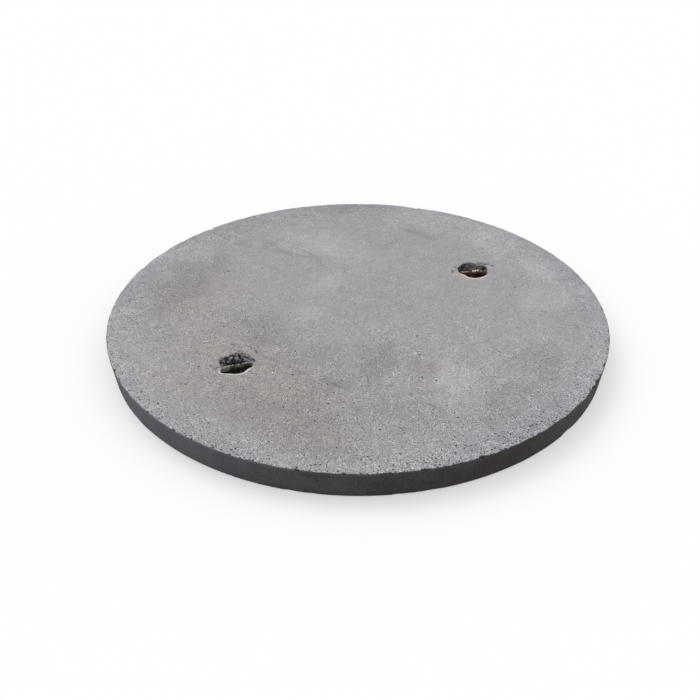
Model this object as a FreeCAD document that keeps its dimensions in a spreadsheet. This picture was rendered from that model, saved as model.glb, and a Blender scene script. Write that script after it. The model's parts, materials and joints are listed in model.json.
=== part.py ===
"""Round precast concrete cover slab with two lifting pockets, each bridged by a cast-in steel bar.

The cover lies as it is used: the underside is on Z = 0 and the trowelled face looks up. The two
pockets lie on the X axis. Lengths are in millimetres and angles in degrees.
"""

import FreeCAD
import Part
import Sketcher

import math
import os

# Driving dimensions: alias, value and what it measures.
SIZES = [
    ("cover_diameter", 1000, "across the trowelled face"),
    ("cover_thickness", 58, "underside to trowelled face"),
    ("side_taper", 9, "how much less the underside's radius is, so that the casting leaves its mould"),
    ("top_arris", 2, "worn edge of the trowelled face"),
    ("bottom_arris", 4, "sloped edge left by the mould's corner strip"),
    ("near_pocket_inset", 214, "rim of the cover to the near pocket's axis"),
    ("far_pocket_inset", 190, "rim of the cover to the far pocket's axis"),
    ("pocket_diameter", 70, "across a pocket's mouth"),
    ("pocket_depth", 38, "trowelled face to a pocket's floor"),
    ("pocket_draft", 12, "lean of a pocket's wall from upright"),
    ("pocket_floor_radius", 14, "hollow between a pocket's wall and floor"),
    ("pocket_lip", 2, "worn edge of a pocket's mouth"),
    ("bar_diameter", 8, "plain round lifting bar"),
    ("bar_depth", 10, "trowelled face to the axis of the bar where it crosses the pocket"),
    ("near_bar_yaw", -20, "turn of the near bar from the X axis"),
    ("far_bar_yaw", -35, "turn of the far bar from the X axis"),
    ("bar_seat", 12, "straight run of the bar into the concrete, past the pocket's mouth"),
    ("bar_bend_radius", 20, "axis of the bar at each bend"),
    ("bar_crank_angle", 25, "slope of the bar on its way down to the legs"),
    ("bar_bottom_cover", 15, "concrete under the bar's legs"),
    ("bar_leg_length", 40, "level anchoring leg at each end of the bar"),
]

doc = FreeCAD.newDocument("ConcreteCover")


def make_sheet():
    """Spreadsheet that holds the driving dimensions, one alias to a row."""
    sheet = doc.addObject("Spreadsheet::Sheet", "Sizes")
    for row, (alias, value, note) in enumerate(SIZES, start=1):
        sheet.set(f"A{row}", alias)
        sheet.set(f"B{row}", str(value))
        sheet.set(f"C{row}", note)
        sheet.setAlias(f"B{row}", alias)
    doc.recompute()
    return sheet


sizes = make_sheet()


def plane_of(body, role):
    """One of a body's own origin planes, such as XZ_Plane."""
    return next(f for f in body.Origin.OriginFeatures if f.Role == role)


def new_sketch(body, name, role):
    """Empty sketch on one of the body's origin planes."""
    sketch = body.newObject("Sketcher::SketchObject", name)
    sketch.AttachmentSupport = [(plane_of(body, role), "")]
    sketch.MapMode = "FlatFace"
    return sketch


def bind(sketch, name, constraint, expression):
    """Adds a dimension to a sketch and drives it from the sheet."""
    index = sketch.addConstraint(constraint)
    sketch.renameConstraint(index, name)
    sketch.setExpression(f".Constraints.{name}", expression)


def point(x, y):
    return FreeCAD.Vector(x, y, 0)


def add_path(sketch, corners):
    """Chain of lines through the corners. Returns the number of each line."""
    lines = [
        sketch.addGeometry(Part.LineSegment(start, end), False)
        for start, end in zip(corners, corners[1:])
    ]
    for first, second in zip(lines, lines[1:]):
        sketch.addConstraint(Sketcher.Constraint("Coincident", first, 2, second, 1))
    return lines


def edges_at(feature, radius, height):
    """Names of a feature's round edges of that radius at that height."""
    found = []
    for number, edge in enumerate(feature.Shape.Edges, start=1):
        if not isinstance(edge.Curve, Part.Circle):
            continue
        same_radius = abs(edge.Curve.Radius - radius) < 1e-4
        same_height = abs(edge.Curve.Center.z - height) < 1e-4
        if same_radius and same_height:
            found.append(f"Edge{number}")
    return found


def slope_edges(body, name, size_alias, edge_radius, edge_height):
    """Chamfer, sized by the sheet, on the body's round edges of one radius and height."""
    base = body.Tip
    names = edges_at(base, edge_radius, edge_height)
    if not names:
        raise RuntimeError(f"{name}: no edge of radius {edge_radius} at height {edge_height}")
    chamfer = body.newObject("PartDesign::Chamfer", name)
    chamfer.Base = (base, names)
    chamfer.setExpression("Size", f"Sizes.{size_alias}")
    doc.recompute()


def cast_disc(body):
    """The cover as it leaves the mould: a disc whose side leans in towards the underside."""
    top_radius = sizes.cover_diameter / 2
    bottom_radius = top_radius - sizes.side_taper
    height = sizes.cover_thickness
    sketch = new_sketch(body, "disc_section", "XZ_Plane")
    corners = [
        point(0, 0),
        point(bottom_radius, 0),
        point(top_radius, height),
        point(0, height),
        point(0, 0),
    ]
    underside, side, top, axis = add_path(sketch, corners)
    sketch.addConstraint(Sketcher.Constraint("Coincident", axis, 2, underside, 1))
    sketch.addConstraint(Sketcher.Constraint("Coincident", underside, 1, -1, 1))
    sketch.addConstraint(Sketcher.Constraint("Horizontal", underside))
    sketch.addConstraint(Sketcher.Constraint("Horizontal", top))
    sketch.addConstraint(Sketcher.Constraint("Vertical", axis))
    bind(
        sketch,
        "top_radius",
        Sketcher.Constraint("DistanceX", top, 2, top, 1, top_radius),
        "Sizes.cover_diameter / 2",
    )
    bind(
        sketch,
        "bottom_radius",
        Sketcher.Constraint("DistanceX", underside, 1, underside, 2, bottom_radius),
        "Sizes.cover_diameter / 2 - Sizes.side_taper",
    )
    bind(
        sketch,
        "thickness",
        Sketcher.Constraint("DistanceY", axis, 2, axis, 1, height),
        "Sizes.cover_thickness",
    )
    disc = body.newObject("PartDesign::Revolution", "disc")
    disc.Profile = sketch
    disc.ReferenceAxis = (sketch, ["V_Axis"])
    disc.Angle = 360
    doc.recompute()


def sink_pocket(body, name, centre_x, centre_expression):
    """Lifting pocket: a leaning round wall that runs through a hollow corner into a flat floor."""
    rim = sizes.pocket_diameter / 2
    depth = sizes.pocket_depth
    lean = math.tan(math.radians(sizes.pocket_draft))
    corner = sizes.pocket_floor_radius
    # The hollow corner is centred where its circle touches both the floor and the wall.
    corner_y = corner - depth
    wall_at_corner = rim + corner_y * lean
    corner_x = wall_at_corner - corner / math.cos(math.radians(sizes.pocket_draft))
    touch_angle = math.radians(-sizes.pocket_draft)
    touch = point(
        corner_x + corner * math.cos(touch_angle), corner_y + corner * math.sin(touch_angle)
    )

    sketch = new_sketch(body, f"{name}_section", "XZ_Plane")
    sketch.AttachmentOffset = FreeCAD.Placement(
        point(centre_x, sizes.cover_thickness), FreeCAD.Rotation()
    )
    sketch.setExpression("AttachmentOffset.Base.x", centre_expression)
    sketch.setExpression("AttachmentOffset.Base.y", "Sizes.cover_thickness")
    wall, mouth, axis, floor = add_path(
        sketch, [touch, point(rim, 0), point(0, 0), point(0, -depth), point(corner_x, -depth)]
    )
    hollow = sketch.addGeometry(
        Part.ArcOfCircle(
            Part.Circle(point(corner_x, corner_y), FreeCAD.Vector(0, 0, 1), corner),
            -math.pi / 2,
            touch_angle,
        ),
        False,
    )
    sketch.addConstraint(Sketcher.Constraint("Tangent", floor, 2, hollow, 1))
    sketch.addConstraint(Sketcher.Constraint("Tangent", hollow, 2, wall, 1))
    sketch.addConstraint(Sketcher.Constraint("Coincident", mouth, 2, -1, 1))
    sketch.addConstraint(Sketcher.Constraint("Horizontal", mouth))
    sketch.addConstraint(Sketcher.Constraint("Vertical", axis))
    sketch.addConstraint(Sketcher.Constraint("Horizontal", floor))
    bind(
        sketch,
        "rim_radius",
        Sketcher.Constraint("DistanceX", mouth, 2, mouth, 1, rim),
        "Sizes.pocket_diameter / 2",
    )
    bind(
        sketch,
        "depth",
        Sketcher.Constraint("DistanceY", axis, 2, axis, 1, depth),
        "Sizes.pocket_depth",
    )
    bind(
        sketch,
        "floor_radius",
        Sketcher.Constraint("Radius", hollow, corner),
        "Sizes.pocket_floor_radius",
    )
    bind(
        sketch,
        "wall_angle",
        Sketcher.Constraint("Angle", wall, math.radians(90 - sizes.pocket_draft)),
        "90 - Sizes.pocket_draft",
    )
    pocket = body.newObject("PartDesign::Groove", name)
    pocket.Profile = sketch
    pocket.ReferenceAxis = (sketch, ["V_Axis"])
    pocket.Angle = 360
    doc.recompute()


def cast_slab(pockets):
    """The concrete casting, before the bars take their room in it."""
    body = doc.addObject("PartDesign::Body", "SlabCasting")
    cast_disc(body)
    for name, (centre_x, centre_expression) in pockets.items():
        sink_pocket(body, f"{name}_pocket", centre_x, centre_expression)
    top_radius = sizes.cover_diameter / 2
    height = sizes.cover_thickness
    slope_edges(body, "pocket_lips", "pocket_lip", sizes.pocket_diameter / 2, height)
    slope_edges(body, "top_edge", "top_arris", top_radius, height)
    slope_edges(body, "bottom_edge", "bottom_arris", top_radius - sizes.side_taper, 0)
    return body


def bend_bar(name, centre_x, centre_expression, yaw_alias):
    """Plain round bar that crosses a pocket, then cranks down to a level leg at each end.

    One half is swept along its axis and mirrored. Its frame stands on the pocket's axis.
    """
    body = doc.addObject("PartDesign::Body", name)
    level = sizes.cover_thickness - sizes.bar_depth
    leg_level = sizes.bar_bottom_cover + sizes.bar_diameter / 2
    slope = math.radians(sizes.bar_crank_angle)
    bend = sizes.bar_bend_radius
    # Each bend takes this much of the way along and down.
    bend_run = bend * math.sin(slope)
    bend_drop = bend * (1 - math.cos(slope))
    slope_drop = level - leg_level - 2 * bend_drop
    slope_run = slope_drop / math.tan(slope)
    run_end = sizes.pocket_diameter / 2 + sizes.bar_seat
    slope_start = point(run_end + bend_run, level - bend_drop)
    slope_end = point(slope_start.x + slope_run, leg_level + bend_drop)
    leg_start = point(slope_end.x + bend_run, leg_level)
    leg_end = point(leg_start.x + sizes.bar_leg_length, leg_level)

    path = new_sketch(body, f"{name}_axis", "XZ_Plane")
    run = path.addGeometry(Part.LineSegment(point(0, level), point(run_end, level)), False)
    upper_bend = path.addGeometry(
        Part.ArcOfCircle(
            Part.Circle(point(run_end, level - bend), FreeCAD.Vector(0, 0, 1), bend),
            math.pi / 2 - slope,
            math.pi / 2,
        ),
        False,
    )
    crank = path.addGeometry(Part.LineSegment(slope_start, slope_end), False)
    lower_bend = path.addGeometry(
        Part.ArcOfCircle(
            Part.Circle(point(leg_start.x, leg_level + bend), FreeCAD.Vector(0, 0, 1), bend),
            -math.pi / 2 - slope,
            -math.pi / 2,
        ),
        False,
    )
    leg = path.addGeometry(Part.LineSegment(leg_start, leg_end), False)
    path.addConstraint(Sketcher.Constraint("Tangent", run, 2, upper_bend, 2))
    path.addConstraint(Sketcher.Constraint("Tangent", upper_bend, 1, crank, 1))
    path.addConstraint(Sketcher.Constraint("Tangent", crank, 2, lower_bend, 1))
    path.addConstraint(Sketcher.Constraint("Tangent", lower_bend, 2, leg, 1))
    path.addConstraint(Sketcher.Constraint("PointOnObject", run, 1, -2))
    path.addConstraint(Sketcher.Constraint("Horizontal", run))
    path.addConstraint(Sketcher.Constraint("Horizontal", leg))
    path.addConstraint(Sketcher.Constraint("Equal", upper_bend, lower_bend))
    bind(
        path,
        "level",
        Sketcher.Constraint("DistanceY", -1, 1, run, 1, level),
        "Sizes.cover_thickness - Sizes.bar_depth",
    )
    bind(
        path,
        "run",
        Sketcher.Constraint("DistanceX", run, 1, run, 2, run_end),
        "Sizes.pocket_diameter / 2 + Sizes.bar_seat",
    )
    bind(
        path,
        "bend_radius",
        Sketcher.Constraint("Radius", upper_bend, bend),
        "Sizes.bar_bend_radius",
    )
    bind(
        path,
        "slope",
        Sketcher.Constraint("Angle", crank, -slope),
        "-Sizes.bar_crank_angle",
    )
    bind(
        path,
        "leg_level",
        Sketcher.Constraint("DistanceY", -1, 1, leg, 1, leg_level),
        "Sizes.bar_bottom_cover + Sizes.bar_diameter / 2",
    )
    bind(
        path,
        "leg_length",
        Sketcher.Constraint("DistanceX", leg, 1, leg, 2, sizes.bar_leg_length),
        "Sizes.bar_leg_length",
    )

    section = new_sketch(body, f"{name}_section", "YZ_Plane")
    circle = section.addGeometry(
        Part.Circle(point(0, level), FreeCAD.Vector(0, 0, 1), sizes.bar_diameter / 2), False
    )
    section.addConstraint(Sketcher.Constraint("PointOnObject", circle, 3, -2))
    bind(
        section,
        "level",
        Sketcher.Constraint("DistanceY", -1, 1, circle, 3, level),
        "Sizes.cover_thickness - Sizes.bar_depth",
    )
    bind(
        section,
        "diameter",
        Sketcher.Constraint("Diameter", circle, sizes.bar_diameter),
        "Sizes.bar_diameter",
    )
    doc.recompute()

    half = body.newObject("PartDesign::AdditivePipe", f"{name}_half")
    half.Profile = section
    half.Spine = path
    doc.recompute()
    whole = body.newObject("PartDesign::Mirrored", f"{name}_whole")
    whole.Originals = [half]
    whole.MirrorPlane = (plane_of(body, "YZ_Plane"), [""])
    body.Tip = whole

    body.Placement = FreeCAD.Placement(
        point(centre_x, 0), FreeCAD.Rotation(FreeCAD.Vector(0, 0, 1), getattr(sizes, yaw_alias))
    )
    body.setExpression("Placement.Base.x", centre_expression)
    body.setExpression("Placement.Rotation.Angle", f"Sizes.{yaw_alias}")
    doc.recompute()
    body.Label = name
    return body


def seat_bars(casting, bars):
    """The casting with the room that each bar fills, so that concrete and steel meet face to face."""
    seated = casting
    for bar in bars:
        cut = doc.addObject("Part::Cut", f"room_for_{bar.Name}")
        cut.Base = seated
        cut.Tool = bar
        seated = cut
    doc.recompute()
    seated.Label = "cover_slab"
    return seated


def check(parts):
    """Stops the build if an object failed or a sub-part isn't one valid solid."""
    for item in doc.Objects:
        if "Invalid" in item.State or "Error" in item.State:
            raise RuntimeError(f"{item.Name} failed: {item.State}")
    for part in parts:
        shape = part.Shape
        if shape.isNull() or not shape.isValid() or len(shape.Solids) != 1:
            raise RuntimeError(f"{part.Label} is not one valid solid")


def main():
    reach = sizes.cover_diameter / 2
    pockets = {
        "near": (sizes.near_pocket_inset - reach, "Sizes.near_pocket_inset - Sizes.cover_diameter / 2"),
        "far": (reach - sizes.far_pocket_inset, "Sizes.cover_diameter / 2 - Sizes.far_pocket_inset"),
    }
    casting = cast_slab(pockets)
    bars = [
        bend_bar(f"{name}_lifting_bar", centre_x, expression, f"{name}_bar_yaw")
        for name, (centre_x, expression) in pockets.items()
    ]
    parts = [seat_bars(casting, bars), *bars]
    check(parts)
    os.makedirs("parts", exist_ok=True)
    for part in parts:
        part.Shape.exportStep(f"parts/{part.Label}.step")
        print(f"{part.Label}: {part.Shape.Volume / 1000:.1f} cm3")


main()
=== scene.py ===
"""Dresses a round precast concrete cover: the worn casting, its two lifting bars and a plain stage.

Every shape is a numpy surface in metres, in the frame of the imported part: +Z up, the underside on z = 0 and
the X axis through both lifting pockets. Places on the trowelled face are written in millimetres.
"""

import json
import math
from typing import NamedTuple

import bpy
import numpy as np
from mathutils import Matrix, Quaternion, Vector


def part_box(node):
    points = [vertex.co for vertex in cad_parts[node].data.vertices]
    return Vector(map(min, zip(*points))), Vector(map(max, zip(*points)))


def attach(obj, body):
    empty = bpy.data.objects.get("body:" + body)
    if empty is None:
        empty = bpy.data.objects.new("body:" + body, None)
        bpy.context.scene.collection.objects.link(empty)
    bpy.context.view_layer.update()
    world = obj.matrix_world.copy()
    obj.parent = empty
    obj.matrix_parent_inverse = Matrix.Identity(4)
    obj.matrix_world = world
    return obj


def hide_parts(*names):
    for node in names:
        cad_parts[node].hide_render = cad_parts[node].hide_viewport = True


bl_info = {
    "name": "Concrete cover",
    "version": (1, 0, 0),
    "blender": (4, 5, 0),
    "location": "View3D > Sidebar > Cover",
    "description": "Casts a worn concrete cover round its packed part, bends its lifting bars and sets a stage",
    "category": "Mesh",
}

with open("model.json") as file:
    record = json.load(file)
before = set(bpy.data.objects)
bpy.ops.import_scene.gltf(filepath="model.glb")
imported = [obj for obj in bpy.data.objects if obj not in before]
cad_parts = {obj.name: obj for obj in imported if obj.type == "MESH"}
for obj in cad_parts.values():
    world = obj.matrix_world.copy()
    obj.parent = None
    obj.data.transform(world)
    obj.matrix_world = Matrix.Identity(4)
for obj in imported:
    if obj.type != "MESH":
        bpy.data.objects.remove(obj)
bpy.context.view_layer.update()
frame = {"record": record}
_, SLAB_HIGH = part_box("cover_slab")
MOUNTS = {mount["name"]: mount for mount in frame["record"]["mounts"]}
MM = 0.001
# The worn side lies just inside the casting's own radius
OUTER = SLAB_HIGH.x - 0.3 * MM


def linear(hex_code):
    """Linear colour, with an alpha of 1, of an sRGB hex code."""
    channels = np.array([int(hex_code[at:at + 2], 16) for at in (0, 2, 4)]) / 255
    curve = np.where(channels <= 0.04045, channels / 12.92, ((channels + 0.055) / 1.055) ** 2.4)
    return (*curve.tolist(), 1.0)


# What time has left on the cover


class Patch(NamedTuple):
    """An oval patch on the trowelled face: its middle, half length and half width (mm), the turn of its length
    (degrees) and its amount."""
    x: float
    y: float
    long: float
    wide: float
    turn: float
    amount: float


class Stroke(NamedTuple):
    """A mark along a bent line on the trowelled face: its points and its half width (mm), and its amount."""
    points: tuple
    wide: float
    amount: float


class Lobe(NamedTuple):
    """Something at one bearing round a pocket or the cover: bearing and half width (degrees), and its amount."""
    bearing: float
    wide: float
    amount: float


class Hollow(NamedTuple):
    """A dent in a pocket's wall: bearing (degrees), depth below the face, half width and how deep it goes (mm)."""
    bearing: float
    depth: float
    wide: float
    amount: float


class Coat(NamedTuple):
    """A colour on a pocket's wall: hex code, bearing and half width (degrees), from and to depth (mm), share."""
    colour: str
    bearing: float
    wide: float
    upper: float
    lower: float
    share: float


class Chip(NamedTuple):
    """A chip off the upper arris: bearing (degrees), half width and depth (mm)."""
    bearing: float
    wide: float
    deep: float


class Pocket(NamedTuple):
    """What is worn and broken at one pocket: lobes that bend its rim, the stretch where the rim is ragged, lumps
    and hollows of the wall, coats of colour on it, some of them painted shade, the painted highlight colour of
    what stands proud, and the painted highlight on its lip."""
    mount: str
    rim: tuple
    ragged: Lobe
    lumps: tuple
    hollows: tuple
    coats: tuple
    proud_highlight_colour: str
    lip: Lobe
    lip_highlight_colour: str
    seed: int


def records(kind, *values):
    """One record of a kind for each row of values."""
    return tuple(kind(*row) for row in values)


def rim_arc(first, last):
    """Points along the rim, 480 mm out, every 6 degrees of bearing from the first to just before the last."""
    bearings = [math.radians(bearing) for bearing in range(first, last, 6)]
    return tuple((480 * math.cos(bearing), 480 * math.sin(bearing)) for bearing in bearings)


# Damp smudges are below zero, pale laitance is above it
TONES = records(
    Patch, (-235, 305, 105, 60, 25, -0.80), (-185, 60, 130, 40, 95, -0.45), (-318, -200, 150, 60, 112, -0.45),
    (-72, -155, 58, 42, 20, -0.75), (-130, -90, 45, 40, 0, -0.35), (-190, -165, 60, 45, 0, -0.45),
    (-140, -305, 110, 70, 110, -0.40), (40, -405, 105, 42, 0, -0.50), (165, -350, 80, 45, 20, -0.40),
    (345, -290, 85, 42, 40, -0.10), (265, 375, 70, 38, -35, -0.45), (-130, 380, 70, 35, 20, -0.30),
    (120, 272, 110, 48, 110, 0.60), (-76, 76, 38, 30, 0, 0.45), (30, 132, 45, 30, 20, 0.45),
    (12, -278, 65, 42, 60, 0.65), (-12, -205, 34, 26, 20, -0.35), (424, 95, 90, 42, 80, 0.65),
    (428, -85, 55, 36, 80, 0.65), (352, -190, 70, 45, 20, 0.45), (-440, 110, 95, 45, 80, 0.20),
    (-415, 255, 75, 35, 60, 0.35), (-125, 428, 70, 30, 15, 0.35), (-290, -60, 330, 120, 95, -0.35),
    (10, -468, 110, 24, 0, -0.45), (270, 400, 110, 30, -35, -0.30), (465, -10, 130, 28, 90, 0.25),
    (380, 240, 75, 50, 120, 0.35), (462, -180, 55, 22, 75, -0.40), (20, 468, 65, 20, 0, -0.30),
)
# Painted light and shade on the form face by bearing, lighter above zero and darker below it
SIDE_LIGHT_AND_SHADE = records(Lobe, (178, 26, 1.1), (198, 22, 0.3), (250, 30, -0.4), (266, 12, -0.3))
# Iron-stained paste is above zero, bluish cement is below it
WARMTHS = records(
    Patch, (-290, -40, 240, 120, 90, 1.10), (-220, 262, 100, 90, 0, 0.80), (-305, -285, 85, 75, 0, 0.60),
    (-60, -205, 130, 100, 0, 0.50), (306, 139, 60, 45, 90, 0.20), (-435, 10, 170, 35, 90, 0.70),
    (385, -60, 170, 90, 90, -0.35), (20, -460, 230, 45, 5, -0.70),
)
# Marks of the trowel's edge and worn stretches of the rim: dark ones are below zero
STROKES = (
    Stroke(((-24, 396), (27, 312), (69, 220)), 10, -0.50),
    Stroke(((2, 402), (52, 318), (92, 236)), 8, -0.35),
    Stroke(((306, 227), (330, 168), (350, 95)), 10, -0.40),
    Stroke(((-236, 4), (-221, -45), (-206, -93), (-175, -181)), 4, -0.80),
    Stroke(((14, -281), (-3, -348)), 4, -0.60),
    Stroke(((-348, 341), (-300, 385), (-251, 425), (-187, 453)), 6, 0.70),
    Stroke(rim_arc(222, 252), 13, 0.30),
    Stroke(rim_arc(296, 350), 13, 0.45),
)
# Where sand stands out of the paste more or less than elsewhere
GRITS = records(
    Patch, (-330, 60, 160, 120, 90, 0.15), (-240, 190, 130, 110, 53, 0.16), (-260, 365, 180, 80, 35, 0.30),
    (20, 450, 150, 45, -5, 0.34), (20, 350, 130, 60, 0, 0.10), (420, 60, 230, 70, 90, 0.20),
    (340, 310, 110, 60, -45, 0.14), (-430, -90, 190, 90, 102, -0.28), (-350, -350, 90, 60, -45, -0.15),
)
# Scratches, cracks, pits and bare sand grains too fine for the mesh: dark ones are below zero
MARKS = records(
    Patch, (-207, -105, 26, 2.5, -37, -0.30), (-182, -152, 36, 3.0, -80, -0.20),
    (-194, -121, 16, 3.0, -61, 0.22), (-120, -190, 18, 2.2, 63, -0.35), (-87, -278, 22, 4.0, 86, -0.22),
    (-80, -320, 28, 4.0, -70, -0.22), (13, -328, 15, 2.2, 62, -0.35), (27, 340, 56, 4.0, -79, -0.13),
    (67, 283, 66, 3.5, -80, -0.13), (48, 312, 64, 4.0, -80, 0.14), (316, 208, 72, 6.0, -70, -0.07),
    (5, -175, 4.0, 4.0, 0, 0.80), (9, -183, 3.5, 3.0, 0, -0.60), (-72, -293, 3.5, 3.5, 0, 0.60),
    (-64, -300, 3.0, 3.0, 0, 0.50), (48, -130, 4.0, 4.0, 0, -0.80), (-35, -245, 3.5, 3.5, 0, -0.70),
    (-9, -116, 3.5, 3.0, 0, -0.60), (-192, -255, 7.0, 3.0, -30, -0.60), (-115, 307, 5.0, 4.0, 0, -0.80),
    (-177, 76, 4.0, 4.0, 0, -0.80), (-258, 60, 8.0, 3.0, -50, -0.50), (-237, 35, 9.0, 3.0, -60, -0.50),
    (331, -107, 4.0, 4.0, 0, -0.70), (-235, 14, 11, 2.4, 74, -0.60), (-329, 8, 6.0, 2.4, 10, -0.50),
    (286, 31, 4.0, 3.0, 0, -0.90),
)
# Hair cracks that run out from the pockets
CRACKS = (
    Stroke(((-320, 8), (-327, 10), (-334, 17), (-331, 22)), 1.5, -0.9),
    Stroke(((-258, -4), (-253, -10), (-253, -17), (-256, -22)), 2.0, -1.0),
    Stroke(((-239, 8), (-235, 16), (-238, 25)), 1.6, -0.8),
    Stroke(((346, 4), (352, 1)), 2.0, -0.9),
    Stroke(((355, -9), (358, -13)), 2.0, -0.9),
    Stroke(((281, 22), (274, 25), (268, 19)), 1.8, -0.8),
)
# Broken spots where the paste came off, by depth (mm)
SPALLS = records(
    Patch, (350, 2, 4.5, 3.0, 0, 2.2), (356, -11, 4.0, 3.0, 30, 2.0), (288, 33, 3.5, 3.0, 0, 2.2),
    (269, 20, 3.5, 2.5, 0, 1.6), (340, 14, 8.0, 4.0, -50, 2.4), (-303, 31, 5.0, 3.5, 20, 2.0),
    (-262, 32, 6.0, 4.0, -20, 1.4),
)
# Rust washed out of the far pocket over its lip
RUST_STAINS = records(
    Patch, (270, 4, 10, 7, 100, 0.50), (277, -13, 10, 4.5, 110, 0.65), (286, -26, 9, 4, 135, 0.60),
)
# Chips along the upper arris
CHIPS = records(
    Chip, (-101.8, 7, 4.2), (-106.6, 3, 3.4), (-110, 3, 2.8), (-113.9, 9, 2.6), (-116, 3, 3.2), (-121, 4, 2.8),
    (-127, 3, 2.8), (-64, 10, 2.8), (-66.5, 4, 3.4), (-68, 3, 3.2), (-57, 6, 2.6), (-88, 3, 2.8), (-94, 3, 2.4),
    (-130, 3, 2.8), (-139, 4, 3.4), (-141, 3, 2.8), (-150, 4, 3.2), (-153, 3, 3.4), (-157.5, 5, 3.6),
    (-162.6, 4, 3.6), (-167.5, 3, 3.0), (-176, 3, 3.0), (175.3, 3, 2.8), (170, 4, 2.8), (166.3, 3, 3.2),
    (38, 10, 2.4), (95, 6, 2.0),
)

NEAR_POCKET = Pocket(
    mount="near_lifting_point",
    rim=records(
        Lobe, (160, 14, -4.0), (192, 14, 7.0), (270, 40, -2.0), (-40, 16, -4.0), (-76, 20, -5.5),
        (105, 25, -2.5),
    ),
    ragged=Lobe(80, 85, 2.8),
    lumps=records(Lobe, (95, 60, 3.0), (15, 40, 1.6), (165, 25, 2.0)),
    hollows=records(
        Hollow, (102, 2.4, 2.6, 4.5), (128, 3.0, 3.2, 4.5), (81, 2.2, 2.2, 4.5), (104, 10.0, 2.4, 3.5),
        (52, 6.0, 2.2, 4.0), (158, 4.0, 2.6, 4.0), (-9, 4.0, 2.6, 5.0), (-22, 4.0, 3.0, 5.0),
        (30, 5.0, 1.8, 3.0), (140, 9.0, 2.2, 3.0), (40, 13.0, 2.2, 3.0),
    ),
    # At bearing 75 the coats from 8 and from 17 mm down darken the back wall with depth, partly damp soil and
    # partly painted shade; the coat at 233, under the bar, is partly damp soil and partly painted shade; the pale
    # coat at 74 is a painted highlight on lumps
    coats=records(
        Coat, ("3a3834", 75, 70, 8, 28, 0.90), ("69696d", 60, 80, 0, 15, 0.90), ("85858b", 15, 36, 0, 18, 0.80),
        ("a4a4a8", 74, 17, 4, 10, 0.60), ("35322a", 233, 60, 3, 40, 0.95), ("26231b", 75, 80, 17, 40, 0.85),
        ("8a877b", 165, 20, 1, 20, 0.55),
    ),
    proud_highlight_colour="bdbdc0",
    lip=Lobe(240, 56, 2.3),
    lip_highlight_colour="f8f5f0",
    seed=11,
)
FAR_POCKET = Pocket(
    mount="far_lifting_point",
    rim=records(Lobe, (0, 1000, -2.0), (30, 18, -6.0), (-3, 10, 2.0), (188, 24, -5.0), (-40, 16, -2.0)),
    ragged=Lobe(60, 90, 2.6),
    lumps=records(Lobe, (8, 34, 2.8), (100, 50, 0.8)),
    hollows=records(
        Hollow, (128, 4.0, 4.0, 2.5), (18, 5.0, 1.6, 2.5), (8, 7.0, 1.6, 2.5), (-8, 4.0, 2.0, 3.0),
        (-25, 6.0, 2.0, 3.0),
    ),
    # The dark teal-grey coat at bearing 105 is partly the back wall's colour and partly painted shade
    coats=records(
        Coat, ("2e3434", 105, 75, 0, 28, 0.97), ("868887", 8, 30, 0, 18, 0.85),
        ("4a2310", 250, 55, 3, 40, 0.95), ("3c1c0d", 60, 140, 25, 40, 0.97), ("7d6643", 178, 16, 1, 16, 0.70),
    ),
    proud_highlight_colour="8f908f",
    lip=Lobe(230, 52, 2.8),
    lip_highlight_colour="f6e9e0",
    seed=23,
)
POCKETS = (NEAR_POCKET, FAR_POCKET)

# Dirt in cracks and on spalls, painted shade in a wall's hollows and on chips, and rust that was washed over the
# face
CRACK_DIRT, SPALL_DIRT, HOLLOW_SHADE, CHIP_SHADE, RUST_WASH = "37332f", "3f3c3a", "0f0e0c", "2a2728", "cdb0a2"
# Size of the lumps on a pocket's wall, reach of the chips and fall of the face at its rim (mm)
LUMP, CHIP_REACH, RIM_FALL = 3.4, 4, 0.6
# The fall's span of radius (m)
FALL_SPAN = (0.42, 0.497)
# Heights of the face's waves and of the trowel's ridges, depths of its strokes and of a crack (mm)
WAVE, RIDGE, STROKE_DEPTH, CRACK_DEPTH = 0.45, 0.12, 0.35, 1.2
# Depth of the crumbled arris, height of the form skin's waves and depth of the nicks along the foot (mm)
CRUMBLE, SKIN_WAVE, NICK = 0.5, 0.4, 2.2
# Where a bar's mortar and rust fade out, by distance from its middle, and how high rust scale is (mm)
SHOWN_SPAN, SCALE = (30, 37), 0.35
# Most that three octaves of noise add up to
THREE_OCTAVES = 1 + 1 / 2 + 1 / 4


# Formulas that several surfaces share


def ease(low, high, value):
    """0 below low, 1 above high and 3t^2 - 2t^3 between them."""
    t = np.clip((value - low) / (high - low), 0, 1)
    return t * t * (3 - 2 * t)


def bell(distance):
    """exp(-d^2): 1 in the middle, about a third one half width out."""
    return np.exp(-distance**2)


def turned(angle, bearing):
    """Angle from a bearing, in degrees from -180 to 180."""
    return (np.degrees(angle) - bearing + 180) % 360 - 180


def lobe_weight(angle, lobe):
    """Bell over the angle from a lobe's bearing."""
    return bell(turned(angle, lobe.bearing) / lobe.wide)


def on_plane(x, y):
    """Points on z = 0, at which noise is read."""
    return np.stack([x, y, np.zeros_like(x)], -1)


def hashed(cells, seed):
    """One random number from 0 to 1 for each lattice cell: its three whole numbers multiplied and mixed."""
    mixed = cells[..., 0] * 73856093 ^ cells[..., 1] * 19349663 ^ cells[..., 2] * 83492791
    mixed = (mixed + seed * 668265263) * 1274126177
    mixed = (mixed ^ mixed >> 15) * 1911520717
    return (mixed >> 16 & 0xFFFF) / 0xFFFF


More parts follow.
